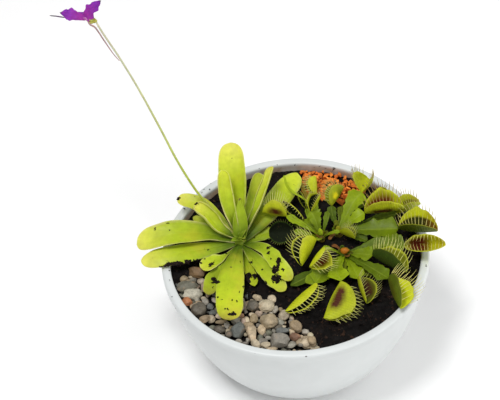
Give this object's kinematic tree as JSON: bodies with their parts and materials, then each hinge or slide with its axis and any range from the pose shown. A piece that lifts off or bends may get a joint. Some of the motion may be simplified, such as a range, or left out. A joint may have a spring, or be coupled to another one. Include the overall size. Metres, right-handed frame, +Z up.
{
  "type": "potted carnivorous plant",
  "caption": "Round glazed bowl of peat planted with a butterwort rosette in flower and a clump of toothed flytraps, topped with pebbles and clay granules.",
  "frame": {"origin": "centre of the bowl's flat underside", "axes": "+Z up out of the bowl, -Y towards the side with the pebbles, which the picture sees, +X towards the flytraps' side"},
  "size_m": [0.3044, 0.2434, 0.291],
  "materials": {
    "bowl": "satin",
    "peat": "matte",
    "pebble": "satin",
    "clay": "matte",
    "butterwort_leaf": "satin",
    "flower_stalk": "satin",
    "petal": "matte",
    "flytrap_leaf": "satin"
  },
  "bodies": {
    "root": {"bowl": "bowl", "butterwort_crown": "butterwort_leaf", "butterwort_leaf_front_big": "butterwort_leaf", "butterwort_leaf_front_left": "butterwort_leaf", "butterwort_leaf_front_right": "butterwort_leaf", "butterwort_leaf_front_small": "butterwort_leaf", "butterwort_leaf_left_long_front": "butterwort_leaf", "butterwort_leaf_left_long_rear": "butterwort_leaf", "butterwort_leaf_left_rear": "butterwort_leaf", "butterwort_leaf_left_rear_short": "butterwort_leaf", "butterwort_leaf_left_upper": "butterwort_leaf", "butterwort_leaf_rear_left": "butterwort_leaf", "butterwort_leaf_rear_on_edge": "butterwort_leaf", "butterwort_leaf_rear_right": "butterwort_leaf", "butterwort_leaf_rear_tall": "butterwort_leaf", "butterwort_leaf_right": "butterwort_leaf", "butterwort_leaf_right_front": "butterwort_leaf", "butterwort_leaf_right_rear_broad": "butterwort_leaf", "butterwort_leaf_small_oval": "butterwort_leaf", "clay_granules": "clay", "flower": "petal", "flower_stalk": "flower_stalk", "flytrap_crown_front": "flytrap_leaf", "flytrap_crown_left": "flytrap_leaf", "flytrap_crown_rear": "flytrap_leaf", "flytrap_leaf_back_upright": "flytrap_leaf", "flytrap_leaf_centre_small": "flytrap_leaf", "flytrap_leaf_far_right": "flytrap_leaf", "flytrap_leaf_front_big": "flytrap_leaf", "flytrap_leaf_front_left": "flytrap_leaf", "flytrap_leaf_front_purple": "flytrap_leaf", "flytrap_leaf_front_red": "flytrap_leaf", "flytrap_leaf_left_dark": "flytrap_leaf", "flytrap_leaf_left_front": "flytrap_leaf", "flytrap_leaf_left_pale": "flytrap_leaf", "flytrap_leaf_left_small": "flytrap_leaf", "flytrap_leaf_left_striped": "flytrap_leaf", "flytrap_leaf_rear_curled": "flytrap_leaf", "flytrap_leaf_rear_left_small": "flytrap_leaf", "flytrap_leaf_rear_red": "flytrap_leaf", "flytrap_leaf_rear_right_big": "flytrap_leaf", "flytrap_leaf_rear_right_small": "flytrap_leaf", "flytrap_leaf_rear_upright": "flytrap_leaf", "flytrap_leaf_rear_yellow": "flytrap_leaf", "flytrap_leaf_right_front": "flytrap_leaf", "flytrap_leaf_right_mid": "flytrap_leaf", "flytrap_leaf_right_striped": "flytrap_leaf", "pebbles": "pebble", "soil": "peat"}
  },
  "joints": []
}
